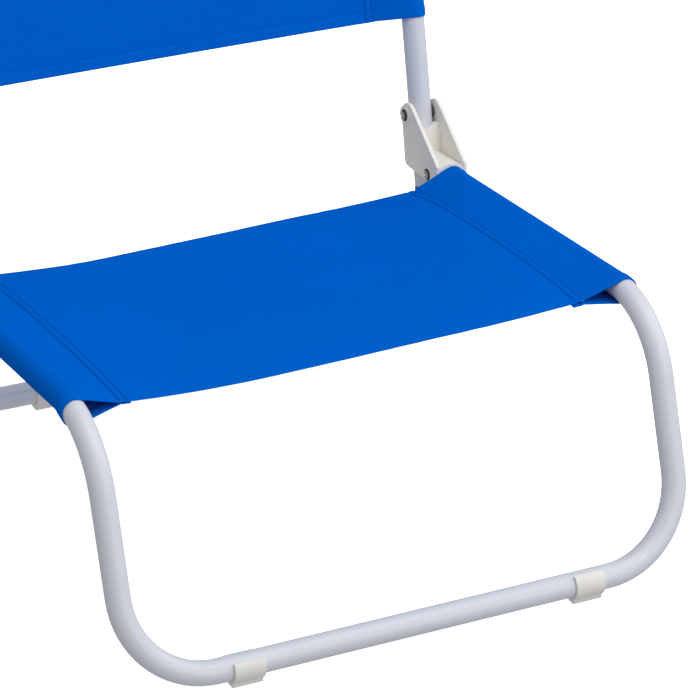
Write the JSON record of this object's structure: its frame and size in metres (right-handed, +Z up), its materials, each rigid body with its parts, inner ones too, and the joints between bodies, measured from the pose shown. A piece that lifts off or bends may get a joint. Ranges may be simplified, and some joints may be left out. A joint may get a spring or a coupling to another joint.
{
  "type": "beach chair",
  "caption": "Low folding beach chair: two crossing bent steel tube loops hinged in plastic brackets, with stretched cloth seat and back slings.",
  "frame": {"origin": "on the ground, at the middle of the chair's bounding box seen from above", "axes": "+X across the chair, +Y from the front to the back, +Z up"},
  "size_m": [0.4986, 0.6034, 0.5608],
  "materials": {
    "coated_tube": "glossy bluish-white powder coat on steel tube",
    "cream_plastic": "satin cream-white moulded plastic",
    "dark_nylon": "plain dark grey nylon, hidden inside the brackets",
    "blue_cloth": "saturated blue plain-woven polyester cloth",
    "rivet_steel": "dull zinc-plated steel rivet"
  },
  "bodies": {
    "seat": {"seat_frame_tube": "coated_tube", "hinge_bracket_left": "cream_plastic", "hinge_bracket_right": "cream_plastic", "rail_rivet_left": "rivet_steel", "rail_rivet_right": "rivet_steel", "front_foot_left": "cream_plastic", "front_foot_right": "cream_plastic", "seat_sling": "blue_cloth"},
    "back": {"back_hoop_tube": "coated_tube", "rear_leg_loop_tube": "coated_tube", "hinge_spacer_left_inner": "dark_nylon", "hinge_spacer_left_outer": "dark_nylon", "hinge_spacer_right_inner": "dark_nylon", "hinge_spacer_right_outer": "dark_nylon", "pivot_rivet_left": "rivet_steel", "pivot_rivet_right": "rivet_steel", "leg_joint_rivet_left": "rivet_steel", "leg_joint_rivet_right": "rivet_steel", "rear_foot_left": "cream_plastic", "rear_foot_right": "cream_plastic", "back_sling": "blue_cloth"}
  },
  "joints": [
    {"name": "back_fold", "type": "hinge", "parent": "seat", "child": "back", "pos_m": [0, 0.16753, 0.17647], "axis": [1, 0, 0], "range_deg": [0, 100]}
  ]
}
